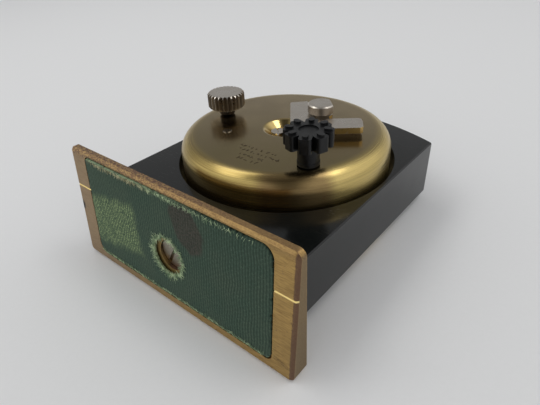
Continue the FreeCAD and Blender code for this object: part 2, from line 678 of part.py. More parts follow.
def pieces():
    """Every piece of the clock by node name, in the design frame."""
    return {
        "case_body": case_body(), "foot_plate": foot_plate(), "foot_felt": foot_felt(),
        "foot_screw": foot_screw(), "bezel": bezel(), "crystal": crystal(), "dial": dial(),
        "hour_markers": hour_markers(), "mounting_ring": mounting_ring(),
        "movement_cover": movement_cover(), "cover_screw": cover_screw(),
        "cover_post": cover_post(), "cover_pin": cover_pin(), "front_plate": front_plate(),
        "back_plate": back_plate(), "plate_pillars": plate_pillars(),
        "plate_screws": plate_screws(), "winding_arbor": winding_arbor(),
        "ratchet_wheel": ratchet_wheel(), "key_hub": key_hub(), "key_wing": key_wing(),
        "click": click(), "click_stud": click_stud(), "click_spring": click_spring(),
        "barrel": barrel(), "mainspring": mainspring(), "centre_wheel": centre_wheel(),
        "third_wheel": third_wheel(), "escape_wheel": escape_wheel(),
        "pallet_lever": pallet_lever(), "balance_wheel": balance_wheel(),
        "hairspring": hairspring(), "balance_cock": balance_cock(),
        "cannon_pinion": cannon_pinion(), "minute_wheel": minute_wheel(),
        "hour_wheel": hour_wheel(), "alarm_wheel": alarm_wheel(),
        "minute_hand": hand(-12.55, -12.35, 30, 0.6, 1.3, 17.0, 1.1),
        "hour_hand": hand(-12.05, -11.85, 149, 0.95, 1.9, 11.0, 1.5),
        "alarm_hand": hand(-11.65, -11.45, 270, 1.35, 2.1, 9.0, 0.7),
        "setting_arbor": setting_arbor(), "setting_knob": setting_knob(),
        "alarm_arbor": alarm_arbor(), "alarm_knob": alarm_knob(),
        "alarm_hammer": alarm_hammer(),
    }


def face_down(shapes):
    """Tip the clock onto its bezel and the front edge of its foot, then centre its base."""
    bezel_front = -CASE_DEPTH - BEZEL_DEPTH
    run = MOVEMENT_Y + BEZEL_FLAT
    tilt = math.degrees(math.atan2(bezel_front - FOOT_FRONT, run))
    for shape in shapes.values():
        shape.rotate(V(0, 0, 0), V(1, 0, 0), -tilt)
    box = Part.makeCompound(list(shapes.values())).optimalBoundingBox(False)
    shift = V(-(box.XMin + box.XMax) / 2, -(box.YMin + box.YMax) / 2, -box.ZMin)
    for shape in shapes.values():
        shape.translate(shift)
    print("tilt", round(tilt, 4), "shift", [round(value, 4) for value in shift])
    return shapes


def main():
    os.makedirs("parts", exist_ok=True)
    for name, shape in face_down(pieces()).items():
        if not shape.isValid():
            print("not valid:", name)
        shape.exportStep(os.path.join("parts", name + ".step"))
        print(name, len(shape.Solids), "solid(s)", round(shape.Volume, 2), "mm3")


main()
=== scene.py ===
import json
import math
import random

import bmesh
import bpy
from mathutils import Matrix, Vector, noise
from mathutils.bvhtree import BVHTree


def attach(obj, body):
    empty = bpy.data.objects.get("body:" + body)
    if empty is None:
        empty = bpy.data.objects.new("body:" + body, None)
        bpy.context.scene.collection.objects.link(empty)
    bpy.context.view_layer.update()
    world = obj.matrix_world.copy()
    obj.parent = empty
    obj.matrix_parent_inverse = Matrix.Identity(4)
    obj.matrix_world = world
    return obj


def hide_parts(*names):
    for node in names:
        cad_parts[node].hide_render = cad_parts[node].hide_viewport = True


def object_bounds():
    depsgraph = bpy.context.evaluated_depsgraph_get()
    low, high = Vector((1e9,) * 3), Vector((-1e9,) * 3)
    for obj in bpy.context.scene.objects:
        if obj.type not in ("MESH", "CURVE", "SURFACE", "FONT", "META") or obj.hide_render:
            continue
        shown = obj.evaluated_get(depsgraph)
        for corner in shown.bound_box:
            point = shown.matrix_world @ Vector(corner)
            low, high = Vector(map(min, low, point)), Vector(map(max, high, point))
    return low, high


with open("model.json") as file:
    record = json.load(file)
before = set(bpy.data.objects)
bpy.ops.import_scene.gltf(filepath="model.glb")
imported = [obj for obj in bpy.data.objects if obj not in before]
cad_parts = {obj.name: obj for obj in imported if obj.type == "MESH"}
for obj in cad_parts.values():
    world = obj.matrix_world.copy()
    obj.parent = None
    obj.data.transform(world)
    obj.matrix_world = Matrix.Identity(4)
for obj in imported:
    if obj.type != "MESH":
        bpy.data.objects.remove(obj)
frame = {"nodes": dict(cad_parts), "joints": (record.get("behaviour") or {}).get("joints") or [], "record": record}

cad_low, cad_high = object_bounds()

# A desk alarm clock that lies on its face, seen from its back. Details are placed in the
# clock's own frame, in millimetres: X across it, Y from its foot to its top, Z out of its
# back, with the origin on the movement's axis at the level of the dust cover's flat top.

MM = 0.001
NODES = frame["nodes"]
JOINTS = {joint["name"]: joint for joint in frame["joints"]}

CAMERA_PLACE = (57.55, -65.66, 68.47)   # millimetres from the centre of the object's base
CAMERA_AZIMUTH = 42.21
CAMERA_ELEVATION = 36.0
CAMERA_ROLL = -5.49
CAMERA_LENS = 29.87

HORIZON = 0.62                          # brightness of the room round the clock
SIDE_WALLS = 0.92
CEILING = 0.28
BACK_WALL = 0.40                        # these two are shares of the side walls' brightness
FRONT_WALL = 0.20
LEFT_POWER = 0.46                       # of the two softboxes, in watts
RIGHT_POWER = 0.43
SOFTBOX_HEIGHT = 0.16                   # in metres
SOFTBOX_COLOUR = (1.0, 0.99, 0.97)

DISH_RADIUS = 5.2                       # outer edge of the dish in the middle of the cover
PAINTED_SHADE_AZIMUTH = -47.79                # where painted shade darkens the cover's side most, from X towards Y
PUNCHED_ROWS = ((-2.2, 7.2, -11.9), (-1.2, 9.4, -13.4),
                (0.4, 6.6, -15.0), (0.9, 6.0, -16.6))   # start, end and y of each row
CASE_SCUFF = (23.2, -14.2, -6.3)        # middle of the scratches on the back of the case

FELT_GRID = 0.18                        # spacing of the points in the felt's mesh
FELT_PITCH = (0.62, 0.5)                # spacing of the warp and weft threads
FELT_BACKING = 0.5                      # depth of the felt behind its nominal outer face
FELT_HOLE = (-0.4, -13.0, 3.85)         # x, z and radius of the hole for the screw
FADED_PATCH = (-17.2, -12.3, 8.4, 5.9)  # x, z and half sizes of the pale worn patch
FADED_TURN = 10                         # degrees between the patch's sides and the foot's
STAIN = (5.9, -4.2, 4.0, 4.6)           # x, z and half sizes of the dark stain

HOLE_FIBRES, UPPER_FIBRES, LOWER_FIBRES = 430, 420, 520

NUMERAL_RADIUS, NUMERAL_SIZE = 13.4, 3.2
TRACK_RADIUS = 20.4
HOUR_TICK, MINUTE_TICK = 1.0, 0.7       # lengths of the minute track's strokes


def clock_frame():
    """Matrix from millimetres in the clock's frame to metres in the row's frame."""
    up = Vector(JOINTS["key_turn"]["axis"]).normalized()
    across = Vector((1, 0, 0))
    on_axis = Vector(JOINTS["minute_hand_turn"]["pos_m"])
    rise = (Vector(JOINTS["key_turn"]["pos_m"]) - on_axis).dot(up)
    turn = Matrix((across, up.cross(across), up)).transposed().to_4x4()
    return Matrix.Translation(on_axis + up * rise) @ turn @ Matrix.Scale(MM, 4)


CLOCK = clock_frame()
TO_CLOCK = CLOCK.inverted()


def node_points(name):
    """A node's vertices in the clock's frame."""
    return [TO_CLOCK @ vertex.co for vertex in NODES[name].data.vertices]


def node_box(name):
    """A node's lowest and highest corners in the clock's frame."""
    points = node_points(name)
    low = Vector([min(point[axis] for point in points) for axis in range(3)])
    high = Vector([max(point[axis] for point in points) for axis in range(3)])
    return low, high


# ---- node helpers -------------------------------------------------------------------------
class Nodes:
    """A node tree, with short ways to add nodes and to link them."""

    def __init__(self, tree):
        self.tree = tree

    def add(self, kind, **settings):
        node = self.tree.nodes.new(kind)
        for key, value in settings.items():
            setattr(node, key, value)
        return node

    def join(self, output, target):
        self.tree.links.new(output, target)

    def feed(self, socket, value):
        """Set a socket to a number or colour, or link it to another node's output."""
        if isinstance(value, bpy.types.NodeSocket):
            self.join(value, socket)
        elif isinstance(value, tuple) and len(value) == 3 and socket.type == "RGBA":
            socket.default_value = (*value, 1)
        else:
            socket.default_value = value

    def fill(self, node, values):
        """Feed a node's first sockets in turn, and return the node."""
        for socket, value in zip(node.inputs, values):
            self.feed(socket, value)
        return node

    def math(self, operation, *values):
        return self.fill(self.add("ShaderNodeMath", operation=operation), values).outputs["Value"]

    def plus(self, first, second):
        return self.math("ADD", first, second)

    def times(self, first, second):
        return self.math("MULTIPLY", first, second)

    def vector_math(self, operation, *values):
        return self.fill(self.add("ShaderNodeVectorMath", operation=operation), values)

    def dot(self, first, second):
        return self.vector_math("DOT_PRODUCT", first, second).outputs["Value"]

    def ramp(self, value, low, high, to_low=0.0, to_high=1.0):
        """Value carried smoothly from the range low..high to to_low..to_high, and held there."""
        node = self.add("ShaderNodeMapRange", interpolation_type="SMOOTHSTEP")
        return self.fill(node, (value, low, high, to_low, to_high)).outputs["Result"]


class Paint(Nodes):
    """A material built step by step. Its place is in the clock's frame, in millimetres."""

    def __init__(self, name):
        self.material = bpy.data.materials.new(name)
        self.material.use_nodes = True
        super().__init__(self.material.node_tree)
        self.tree.nodes.clear()
        self.shader = self.add("ShaderNodeBsdfPrincipled")
        output = self.add("ShaderNodeOutputMaterial")
        self.join(self.shader.outputs["BSDF"], output.inputs["Surface"])
        mapping = self.add("ShaderNodeMapping")
        place, turn, size = TO_CLOCK.decompose()
        mapping.inputs["Location"].default_value = place
        mapping.inputs["Rotation"].default_value = turn.to_euler()
        mapping.inputs["Scale"].default_value = size
        self.join(self.add("ShaderNodeTexCoord").outputs["Object"], mapping.inputs["Vector"])
        self.place = mapping.outputs["Vector"]
        split = self.add("ShaderNodeSeparateXYZ")
        self.join(self.place, split.inputs["Vector"])
        self.x, self.y, self.z = split.outputs
        self.normal = None

    def set(self, **sockets):
        """Feed the shader's sockets, named with underscores for spaces."""
        for name, value in sockets.items():
            self.feed(self.shader.inputs[name.replace("_", " ")], value)

    def vector(self, x, y, z):
        return self.fill(self.add("ShaderNodeCombineXYZ"), (x, y, z)).outputs["Vector"]

    def stretch(self, x, y, z):
        """The place multiplied by a different number along each axis."""
        return self.vector_math("MULTIPLY", self.place, (x, y, z)).outputs["Vector"]

    def noise(self, scale, detail=2.0, rough=0.5, place=None, w=None):
        """Cloudy noise from 0 to 1. Scale is in waves per millimetre."""
        node = self.add("ShaderNodeTexNoise", noise_dimensions="3D" if w is None else "4D")
        self.feed(node.inputs["Vector"], place or self.place)
        if w is not None:
            self.feed(node.inputs["W"], w)
        node.inputs["Scale"].default_value = scale
        node.inputs["Detail"].default_value = detail
        node.inputs["Roughness"].default_value = rough
        return node.outputs["Fac"]

    def cells(self, scale):
        """Distance from the nearest of many scattered points."""
        node = self.add("ShaderNodeTexVoronoi", feature="F1")
        self.feed(node.inputs["Vector"], self.place)
        node.inputs["Scale"].default_value = scale
        return node.outputs["Distance"]

    def mix(self, share, first, second):
        node = self.add("ShaderNodeMix", data_type="RGBA")
        self.feed(node.inputs["Factor"], share)
        self.feed(node.inputs[6], first)
        self.feed(node.inputs[7], second)
        return node.outputs[2]

    def attribute(self, name):
        return self.add("ShaderNodeAttribute", attribute_name=name).outputs["Fac"]

    def bump(self, height, depth):
        """Add relief of that many millimetres to the normal."""
        node = self.add("ShaderNodeBump")
        node.inputs["Strength"].default_value = 1.0
        node.inputs["Distance"].default_value = depth * MM
        self.feed(node.inputs["Height"], height)
        if self.normal:
            self.join(self.normal, node.inputs["Normal"])
        self.normal = node.outputs["Normal"]
        self.join(self.normal, self.shader.inputs["Normal"])

    def facing(self, x, y, z):
        """How squarely the surface faces along a direction of the clock, from -1 to 1."""
        direction = (CLOCK.to_3x3() @ Vector((x, y, z))).normalized()
        return self.dot(self.add("ShaderNodeTexCoord").outputs["Normal"], direction)

    def spot(self, x, y, z, reach, soft):
        """1 within reach millimetres of a point, falling to 0 at reach + soft."""
        distance = self.vector_math("DISTANCE", self.place, (x, y, z)).outputs["Value"]
        return self.ramp(distance, reach + soft, reach)

    def line(self, start, end, width):
        """1 along a scratch between two points, falling to 0 at width from it."""
        start, end = Vector(start), Vector(end)
        along = (end - start).normalized()
        offset = self.vector_math("SUBTRACT", self.place, start).outputs["Vector"]
        reach = self.math("MAXIMUM", self.dot(offset, along), 0.0)
        nearest = self.vector_math("SCALE", along)
        self.join(self.math("MINIMUM", reach, (end - start).length), nearest.inputs["Scale"])
        gap = self.vector_math("DISTANCE", offset, nearest.outputs["Vector"]).outputs["Value"]
        return self.ramp(gap, width, width * 0.5)

    def worn_edge(self, reach, low, high):
        """1 along sharp edges within reach millimetres, 0 on flats."""
        bevel = self.add("ShaderNodeBevel", samples=4)
        bevel.inputs["Radius"].default_value = reach * MM
        normal = self.add("ShaderNodeNewGeometry").outputs["Normal"]
        return self.ramp(self.dot(bevel.outputs["Normal"], normal), high, low)

    def around(self, x=0.0, y=0.0):
        """(radius, cosine, sine) of the place about an axis along Z through x, y."""
        east = self.math("SUBTRACT", self.x, x)
        north = self.math("SUBTRACT", self.y, y)
        radius = self.math("SQRT", self.plus(self.times(east, east), self.times(north, north)))
        safe = self.math("MAXIMUM", radius, 0.01)
        return radius, self.math("DIVIDE", east, safe), self.math("DIVIDE", north, safe)

    def turned_grain(self, across, along, x=0.0, y=0.0, detail=3.0):
        """Noise drawn out into circles about an axis, as turning and polishing leave it.

        Across is in waves per millimetre of radius or height, along in waves per radian.
        """
        radius, cosine, sine = self.around(x, y)
        place = self.vector(self.times(radius, across), self.times(self.z, across),
                            self.times(cosine, along))
        return self.noise(1.0, detail, 0.6, place, self.times(sine, along))


# ---- materials ----------------------------------------------------------------------------
def black_lacquer():
    """Polished case: rubbed edges, dust, and a few scratches on the back near its corner."""
    paint = Paint("black_lacquer")
    cloud = paint.noise(0.12, 3)
    rub = paint.noise(1.0, 4, 0.65, paint.stretch(0.5, 9.0, 9.0))
    scratch = paint.ramp(paint.noise(1.0, 2, 0.5, paint.stretch(0.25, 14.0, 2.0)), 0.66, 0.72)
    scuff = paint.ramp(paint.noise(1.0, 3, 0.7, paint.stretch(1.2, 7.0, 1.0)), 0.58, 0.66)
    scuff = paint.times(scuff, paint.spot(*CASE_SCUFF, 0.8, 1.8))
    dust = paint.ramp(paint.cells(1.6), 0.07, 0.03)
    edge = paint.worn_edge(0.3, 0.80, 0.97)
    colour = paint.mix(dust, (0.0055, 0.0064, 0.0062), (0.035, 0.034, 0.032))
    colour = paint.mix(edge, colour, (0.014, 0.013, 0.012))
    colour = paint.mix(paint.times(scuff, 0.7), colour, (0.16, 0.15, 0.13))
    paint.set(Base_Color=colour, IOR=1.42)
    wear = paint.plus(paint.ramp(cloud, 0.35, 0.65, 0.13, 0.2), paint.times(scratch, 0.12))
    paint.set(Roughness=paint.plus(wear, paint.times(dust, 0.3)))
    paint.bump(rub, 0.002)
    paint.bump(paint.plus(scratch, scuff), -0.002)
    return paint.material


def brass(name, light, dark, rough):
    """Plain turned or rolled brass with a soft patina."""
    paint = Paint(name)
    patina = paint.noise(0.35, 4, 0.6)
    grain = paint.noise(1.0, 3, 0.6, paint.stretch(2.0, 30.0, 30.0))
    colour = paint.mix(paint.ramp(patina, 0.35, 0.7), light, dark)
    paint.set(Base_Color=colour, Metallic=1.0)
    paint.set(Roughness=paint.ramp(patina, 0.3, 0.7, rough, rough + 0.12))
    paint.bump(grain, 0.004)
    return paint.material


def satin_brass():
    """The dust cover: circular brushing, a dull brown top and a rubbed, streaky side. Painted shade darkens the
    top and the side towards the foot and the right, the side low on its left and one side of the dish; a painted
    highlight lightens the side on its right.
    """
    paint = Paint("satin_brass")
    edge = node_box("movement_cover")[1].x
    fine = paint.turned_grain(16.0, 2.5)
    broad = paint.turned_grain(3.0, 1.2)
    streak = paint.turned_grain(7.0, 0.8, detail=1.0)
    cloud = paint.noise(0.09, 3, 0.6)
    blotch = paint.noise(0.5, 5, 0.65)
    speck = paint.ramp(paint.noise(2.6, 4, 0.7), 0.66, 0.72)
    radius, east, north = paint.around()
    rim = paint.ramp(radius, edge - 4.2, edge - 1.2)
    lower = paint.ramp(paint.z, -2.2, -6.0)
    # painted shade: the top darkens towards the foot and the right
    top_shade = paint.plus(paint.times(paint.x, 0.5), paint.times(paint.y, -1.0))
    top_shade = paint.ramp(top_shade, -18.0, 22.0)
    top = paint.mix(top_shade, (0.38, 0.295, 0.165), (0.225, 0.178, 0.080))
    top = paint.mix(paint.ramp(cloud, 0.35, 0.65, 0.0, 0.5), top, (0.25, 0.19, 0.10))
    top = paint.mix(paint.ramp(blotch, 0.62, 0.75, 0.0, 0.35), top, (0.17, 0.125, 0.075))
    side = paint.mix(paint.ramp(broad, 0.3, 0.7), (0.54, 0.41, 0.145), (0.35, 0.255, 0.085))
    side = paint.mix(paint.ramp(streak, 0.5, 0.7, 0.0, 0.7), side, (0.24, 0.16, 0.065))
    # painted shade: the side darkens low down on its left
    left = paint.ramp(paint.x, 12.0, -2.0)
    side = paint.mix(paint.times(lower, left), side, (0.27, 0.195, 0.085))
    # painted highlight: the side lightens towards its right
    side = paint.mix(paint.ramp(paint.x, 6.0, 18.0, 0.0, 0.5), side, (0.72, 0.56, 0.22))
    # painted shade: a dark band on the side towards the foot and the right, standing in for a dark reflection
    turn = math.radians(PAINTED_SHADE_AZIMUTH)
    toward = paint.plus(paint.times(east, math.cos(turn)), paint.times(north, math.sin(turn)))
    toward = paint.plus(toward, paint.times(streak, 0.02))
    side = paint.mix(paint.ramp(toward, 0.94, 0.985, 0.0, 0.75), side, (0.17, 0.105, 0.055))
    dish = paint.ramp(radius, DISH_RADIUS, DISH_RADIUS - 1.0)
    colour = paint.mix(rim, top, side)
    colour = paint.mix(paint.times(speck, 0.6), colour, (0.12, 0.08, 0.05))
    colour = paint.mix(dish, colour, (0.78, 0.60, 0.24))
    shade = paint.times(dish, paint.ramp(east, 0.2, -0.6, 0.0, 0.5))
    colour = paint.mix(shade, colour, (0.42, 0.29, 0.12))
    paint.set(Base_Color=colour, Metallic=1.0, Anisotropic=0.6, Anisotropic_Rotation=0.25)
    tangent = paint.add("ShaderNodeTangent", direction_type="RADIAL", axis="Z")
    paint.set(Tangent=tangent.outputs["Tangent"])
    rough = paint.plus(paint.ramp(fine, 0.3, 0.7, 0.17, 0.23), paint.times(rim, 0.09))
    rough = paint.math("SUBTRACT", rough, paint.times(dish, 0.05))
    paint.set(Roughness=rough)
    paint.bump(fine, 0.003)
    paint.bump(broad, 0.005)
    return paint.material


def scribed_line(low, high):
    """Z of the line across the foot's sole where its two slopes meet."""
    return low.z + (high.z - low.z) * 0.667


def foot_brass():
    """The foot: long brushing and brown patina, bevels painted dark as a dark reflection, a painted highlight
    along the bend, and brass rubbed bright.
    """
    paint = Paint("foot_brass")
    low, high = node_box("foot_plate")
    grain = paint.noise(1.0, 4, 0.65, paint.stretch(1.3, 22.0, 22.0))
    brush = paint.noise(1.0, 2, 0.6, paint.stretch(0.5, 6.0, 7.0))
    cloud = paint.noise(0.16, 4, 0.6)
    speck = paint.noise(3.2, 3, 0.7)
    crumb = paint.ramp(speck, 0.46, 0.56)
    pit = paint.ramp(paint.noise(1.4, 5, 0.7), 0.61, 0.69)
    bend = scribed_line(low, high)
    colour = paint.mix(paint.ramp(cloud, 0.35, 0.65), (0.50, 0.325, 0.115), (0.40, 0.26, 0.093))
    colour = paint.mix(paint.ramp(brush, 0.42, 0.66, 0.0, 0.75), colour, (0.27, 0.165, 0.065))
    colour = paint.mix(paint.ramp(grain, 0.45, 0.75, 0.0, 0.5), colour, (0.64, 0.44, 0.17))
    colour = paint.mix(paint.ramp(paint.x, 8.0, low.x, 0.0, 0.8), colour, (0.30, 0.215, 0.135))
    colour = paint.mix(paint.times(pit, 0.75), colour, (0.15, 0.09, 0.06))
    end = paint.ramp(paint.math("ABSOLUTE", paint.facing(1, 0, 0)), 0.8, 0.95)
    colour = paint.mix(paint.times(end, 0.8), colour, (0.22, 0.16, 0.09))
    tarnish = paint.ramp(paint.x, 24.0, -8.0, 0.35, 1.0)
    top = paint.times(paint.ramp(paint.facing(0, 0, 1), 0.85, 0.97), tarnish)
    colour = paint.mix(paint.times(top, 0.85), colour, (0.13, 0.075, 0.07))
    # painted dark reflection: the chamfers and a ragged band along the sole's right edge are darkened
    bevel = paint.ramp(paint.facing(1, -1, 0), 0.90, 0.97)
    ragged = paint.plus(paint.x, paint.times(speck, 0.5))
    band = paint.times(paint.ramp(ragged, high.x - 0.65, high.x - 0.35),
                      paint.ramp(paint.facing(0, -1, 0), 0.4, 0.6))
    bevel = paint.math("MAXIMUM", bevel, band)
    colour = paint.mix(paint.times(bevel, 0.8), colour, (0.11, 0.06, 0.055))
    margin = paint.plus(paint.z, paint.times(speck, 0.8))
    margin = paint.ramp(margin, high.z - 1.3, high.z - 0.5)
    shoulder = paint.math("MAXIMUM", margin, paint.ramp(paint.facing(0, -1, 1), 0.86, 0.95))
    shoulder = paint.times(shoulder, tarnish)
    colour = paint.mix(paint.times(shoulder, 0.8), colour, (0.15, 0.085, 0.06))
    edge = paint.worn_edge(0.3, 0.88, 0.985)
    glint = paint.times(paint.math("MAXIMUM", edge, shoulder), crumb)
    glint = paint.times(glint, paint.ramp(bevel, 0.0, 1.0, 1.0, 0.25))
    colour = paint.mix(paint.times(glint, 0.6), colour, (0.62, 0.42, 0.17))
    # painted highlight: a thin bright line along the bend where the sole's two slopes meet, half metallic so it
    # stays bright
    bend_highlight = paint.ramp(paint.math("ABSOLUTE", paint.math("SUBTRACT", paint.z, bend)), 0.24, 0.14)
    bend_highlight = paint.times(bend_highlight, paint.ramp(paint.facing(0, -1, 0), 0.3, 0.6))
    colour = paint.mix(bend_highlight, colour, (1.0, 0.80, 0.32))
    nick = paint.spot(low.x, low.y + 1.0, bend - 5.0, 0.9, 0.7)
    scratch = paint.line((26.0, low.y + 0.6, bend - 14.0), (28.4, low.y + 0.6, bend - 14.6), 0.75)
    scratch = paint.times(scratch, paint.ramp(grain, 0.5, 0.58))
    marks = paint.math("MAXIMUM", nick, paint.times(scratch, 0.7))
    colour = paint.mix(marks, colour, (0.035, 0.03, 0.03))
    paint.set(Base_Color=colour, Metallic=paint.ramp(bend_highlight, 0.0, 1.0, 1.0, 0.5))
    paint.set(Roughness=paint.ramp(brush, 0.3, 0.7, 0.36, 0.5))
    paint.bump(grain, 0.010)
    paint.bump(paint.math("SUBTRACT", speck, pit), 0.008)
    return paint.material


def nickel(name, x, y, worn=False):
    """Satin nickel plate, turned about x, y; worn plate shows brass on its side faces, unworn plate has painted
    shade on its side faces, and both have a painted highlight along their sharp edges.

    The small pin in the cover is duller than the rest.
    """
    paint = Paint(name)
    grain = paint.turned_grain(9.0, 1.6, x, y)
    cloud = paint.noise(0.5, 3, 0.5)
    spot = paint.ramp(paint.noise(1.6, 4, 0.65), 0.64, 0.74)
    colour = paint.mix(paint.ramp(cloud, 0.3, 0.7), (0.57, 0.525, 0.465), (0.50, 0.455, 0.395))
    colour = paint.mix(paint.times(spot, 0.4), colour, (0.40, 0.35, 0.28))
    side = paint.ramp(paint.math("ABSOLUTE", paint.facing(0, 0, 1)), 0.75, 0.35)
    if worn:
        side = paint.times(side, paint.ramp(paint.noise(1.1, 4, 0.6), 0.28, 0.45))
        colour = paint.mix(side, colour, (0.50, 0.35, 0.13))
    else:
        # painted shade: the side faces of unworn plate are darkened brown
        colour = paint.mix(paint.times(side, 0.65), colour, (0.20, 0.155, 0.11))
    # painted highlight along the sharp edges
    edge = paint.worn_edge(0.10, 0.85, 0.98)
    colour = paint.mix(paint.times(edge, 0.5), colour, (0.90, 0.84, 0.74))
    pin_low, pin_high = node_box("cover_pin")
    pin = (pin_low + pin_high) / 2
    colour = paint.mix(paint.spot(pin.x, pin.y, pin.z, 1.2, 0.2), colour, (0.16, 0.13, 0.09))
    paint.set(Base_Color=colour, Metallic=1.0)
    paint.set(Roughness=paint.ramp(cloud, 0.3, 0.7, 0.26, 0.34))
    paint.bump(grain, 0.0008)
    return paint.material


def steel(name, colour, rough, tint):
    """Ground or blued steel, with a fine straight grain and traces of old oil."""
    paint = Paint(name)
    grain = paint.noise(1.0, 3, 0.6, paint.stretch(40.0, 3.0, 40.0))
    oil = paint.noise(0.7, 3, 0.6)
    paint.set(Base_Color=paint.mix(paint.ramp(oil, 0.45, 0.7), colour, tint), Metallic=1.0)
    paint.set(Roughness=paint.ramp(oil, 0.3, 0.7, rough, rough + 0.15))
    paint.bump(grain, 0.003)
    return paint.material


def black_plastic():
    """Moulded black plastic: a light sheen, flow marks and specks of dust."""
    paint = Paint("black_plastic")
    skin = paint.noise(5.0, 4, 0.6)
    rub = paint.noise(0.8, 4, 0.6)
    edge = paint.worn_edge(0.25, 0.72, 0.97)
    speck = paint.ramp(paint.noise(3.0, 4, 0.75), 0.62, 0.70)
    colour = paint.mix(paint.ramp(rub, 0.4, 0.7), (0.0032, 0.0034, 0.0036),
                       (0.0065, 0.0065, 0.0072))
    colour = paint.mix(paint.times(edge, 0.4), colour, (0.030, 0.031, 0.034))
    colour = paint.mix(paint.times(speck, 0.25), colour, (0.05, 0.05, 0.05))
    paint.set(Base_Color=colour, IOR=1.36)
    paint.set(Roughness=paint.ramp(rub, 0.3, 0.7, 0.30, 0.42))
    paint.bump(skin, 0.012)
    return paint.material


def green_felt():
    """Woven baize: colour from the weave, with painted shade in the hollows between its threads, the faded square,
    the stain and the frayed rim.
    """
    paint = Paint("green_felt")
    fuzz = paint.noise(3.2, 5, 0.75)
    fleck = paint.ramp(paint.noise(4.5, 3, 0.8), 0.57, 0.70)
    cloud = paint.noise(0.14, 3, 0.6)
    weave = paint.attribute("weave")
    colour = paint.mix(paint.ramp(cloud, 0.35, 0.65), (0.044, 0.086, 0.058), (0.062, 0.098, 0.065))
    # painted shade: the hollows between the threads are darkened
    colour = paint.mix(weave, (0.012, 0.026, 0.018), colour)
    colour = paint.mix(paint.times(fleck, 0.5), colour, (0.15, 0.24, 0.15))
    faded = paint.mix(paint.ramp(fuzz, 0.42, 0.58), (0.045, 0.085, 0.045), (0.35, 0.45, 0.20))
    faded = paint.mix(paint.ramp(weave, 0.15, 0.7), (0.030, 0.056, 0.033), faded)
    colour = paint.mix(paint.attribute("faded"), colour, faded)
    stain = paint.mix(paint.ramp(fuzz, 0.4, 0.65), (0.020, 0.018, 0.014), (0.065, 0.050, 0.040))
    colour = paint.mix(paint.attribute("stain"), colour, stain)
    colour = paint.mix(paint.attribute("rim"), colour, (0.33, 0.43, 0.25))
    paint.set(Base_Color=colour, Roughness=0.92, IOR=1.4)
    paint.set(Sheen_Weight=0.18, Sheen_Roughness=0.5, Sheen_Tint=(0.55, 0.75, 0.55))
    paint.bump(fuzz, 0.05)
    return paint.material


def frayed_thread():
    """Loose fibres, straw-coloured along the felt's upper edge and green elsewhere."""
    paint = Paint("frayed_thread")
    tone = paint.noise(0.9, 3, 0.6)
    green = paint.mix(paint.ramp(tone, 0.4, 0.6), (0.20, 0.30, 0.17), (0.64, 0.78, 0.48))
    straw = paint.mix(paint.ramp(tone, 0.4, 0.6), (0.28, 0.27, 0.15), (0.72, 0.68, 0.42))
    upper = paint.times(paint.ramp(paint.z, -3.0, -1.0), paint.ramp(paint.x, -2.0, -8.0))
    paint.set(Base_Color=paint.mix(upper, green, straw), Roughness=0.9)
    paint.bump(paint.noise(12.0, 2), 0.01)
    return paint.material


def clear_glass():
    """The crystal, faintly smeared."""
    paint = Paint("glass")
    smear = paint.noise(0.3, 4, 0.6)
    paint.set(Base_Color=(0.93, 0.96, 0.95), Transmission_Weight=1.0, IOR=1.49)
    paint.set(Roughness=paint.ramp(smear, 0.4, 0.7, 0.01, 0.06))
    paint.bump(paint.noise(0.05, 1), 0.004)
    return paint.material


def dial_paint():
    """Silvered dial with a fine sunray grain, yellowed in clouds."""
    paint = Paint("dial_paint")
    sunray = paint.turned_grain(0.3, 9.0)
    age = paint.noise(0.3, 4, 0.6)
    colour = paint.mix(paint.ramp(age, 0.4, 0.75), (0.74, 0.71, 0.64), (0.62, 0.58, 0.48))
    paint.set(Base_Color=colour, Metallic=0.35)
    paint.set(Roughness=paint.ramp(sunray, 0.3, 0.7, 0.38, 0.5))
    paint.bump(sunray, 0.004)
    return paint.material


def hand_black():
    """Black painted hands, a little worn."""
    paint = Paint("hand_black")
    wear = paint.noise(1.5, 4, 0.6)
    paint.set(Base_Color=paint.mix(wear, (0.012, 0.012, 0.013), (0.03, 0.03, 0.032)))
    paint.set(Roughness=paint.ramp(wear, 0.3, 0.7, 0.28, 0.42))
    paint.bump(paint.noise(8.0, 2), 0.004)
    return paint.material


def dark_mark():
    """Tarnish that settled in punched marks."""
    paint = Paint("dark_mark")
    tone = paint.noise(2.0, 3)
    colour = paint.mix(tone, (0.045, 0.031, 0.017), (0.12, 0.088, 0.048))
    paint.set(Base_Color=colour, Metallic=0.6, Roughness=0.55)
    paint.bump(paint.noise(9.0, 2), 0.004)
    return paint.material


def printed_ink():
    """Black printing on the dial."""
    paint = Paint("printed_ink")
    tone = paint.noise(2.0, 3)
    paint.set(Base_Color=paint.mix(tone, (0.010, 0.010, 0.012), (0.03, 0.03, 0.03)))
    paint.set(Roughness=paint.ramp(tone, 0.3, 0.7, 0.45, 0.6))
    paint.bump(paint.noise(10.0, 2), 0.002)
    return paint.material


def arbor_place(joint):
    """Where a joint's axis stands, in the clock's frame."""
    return TO_CLOCK @ Vector(JOINTS[joint]["pos_m"])


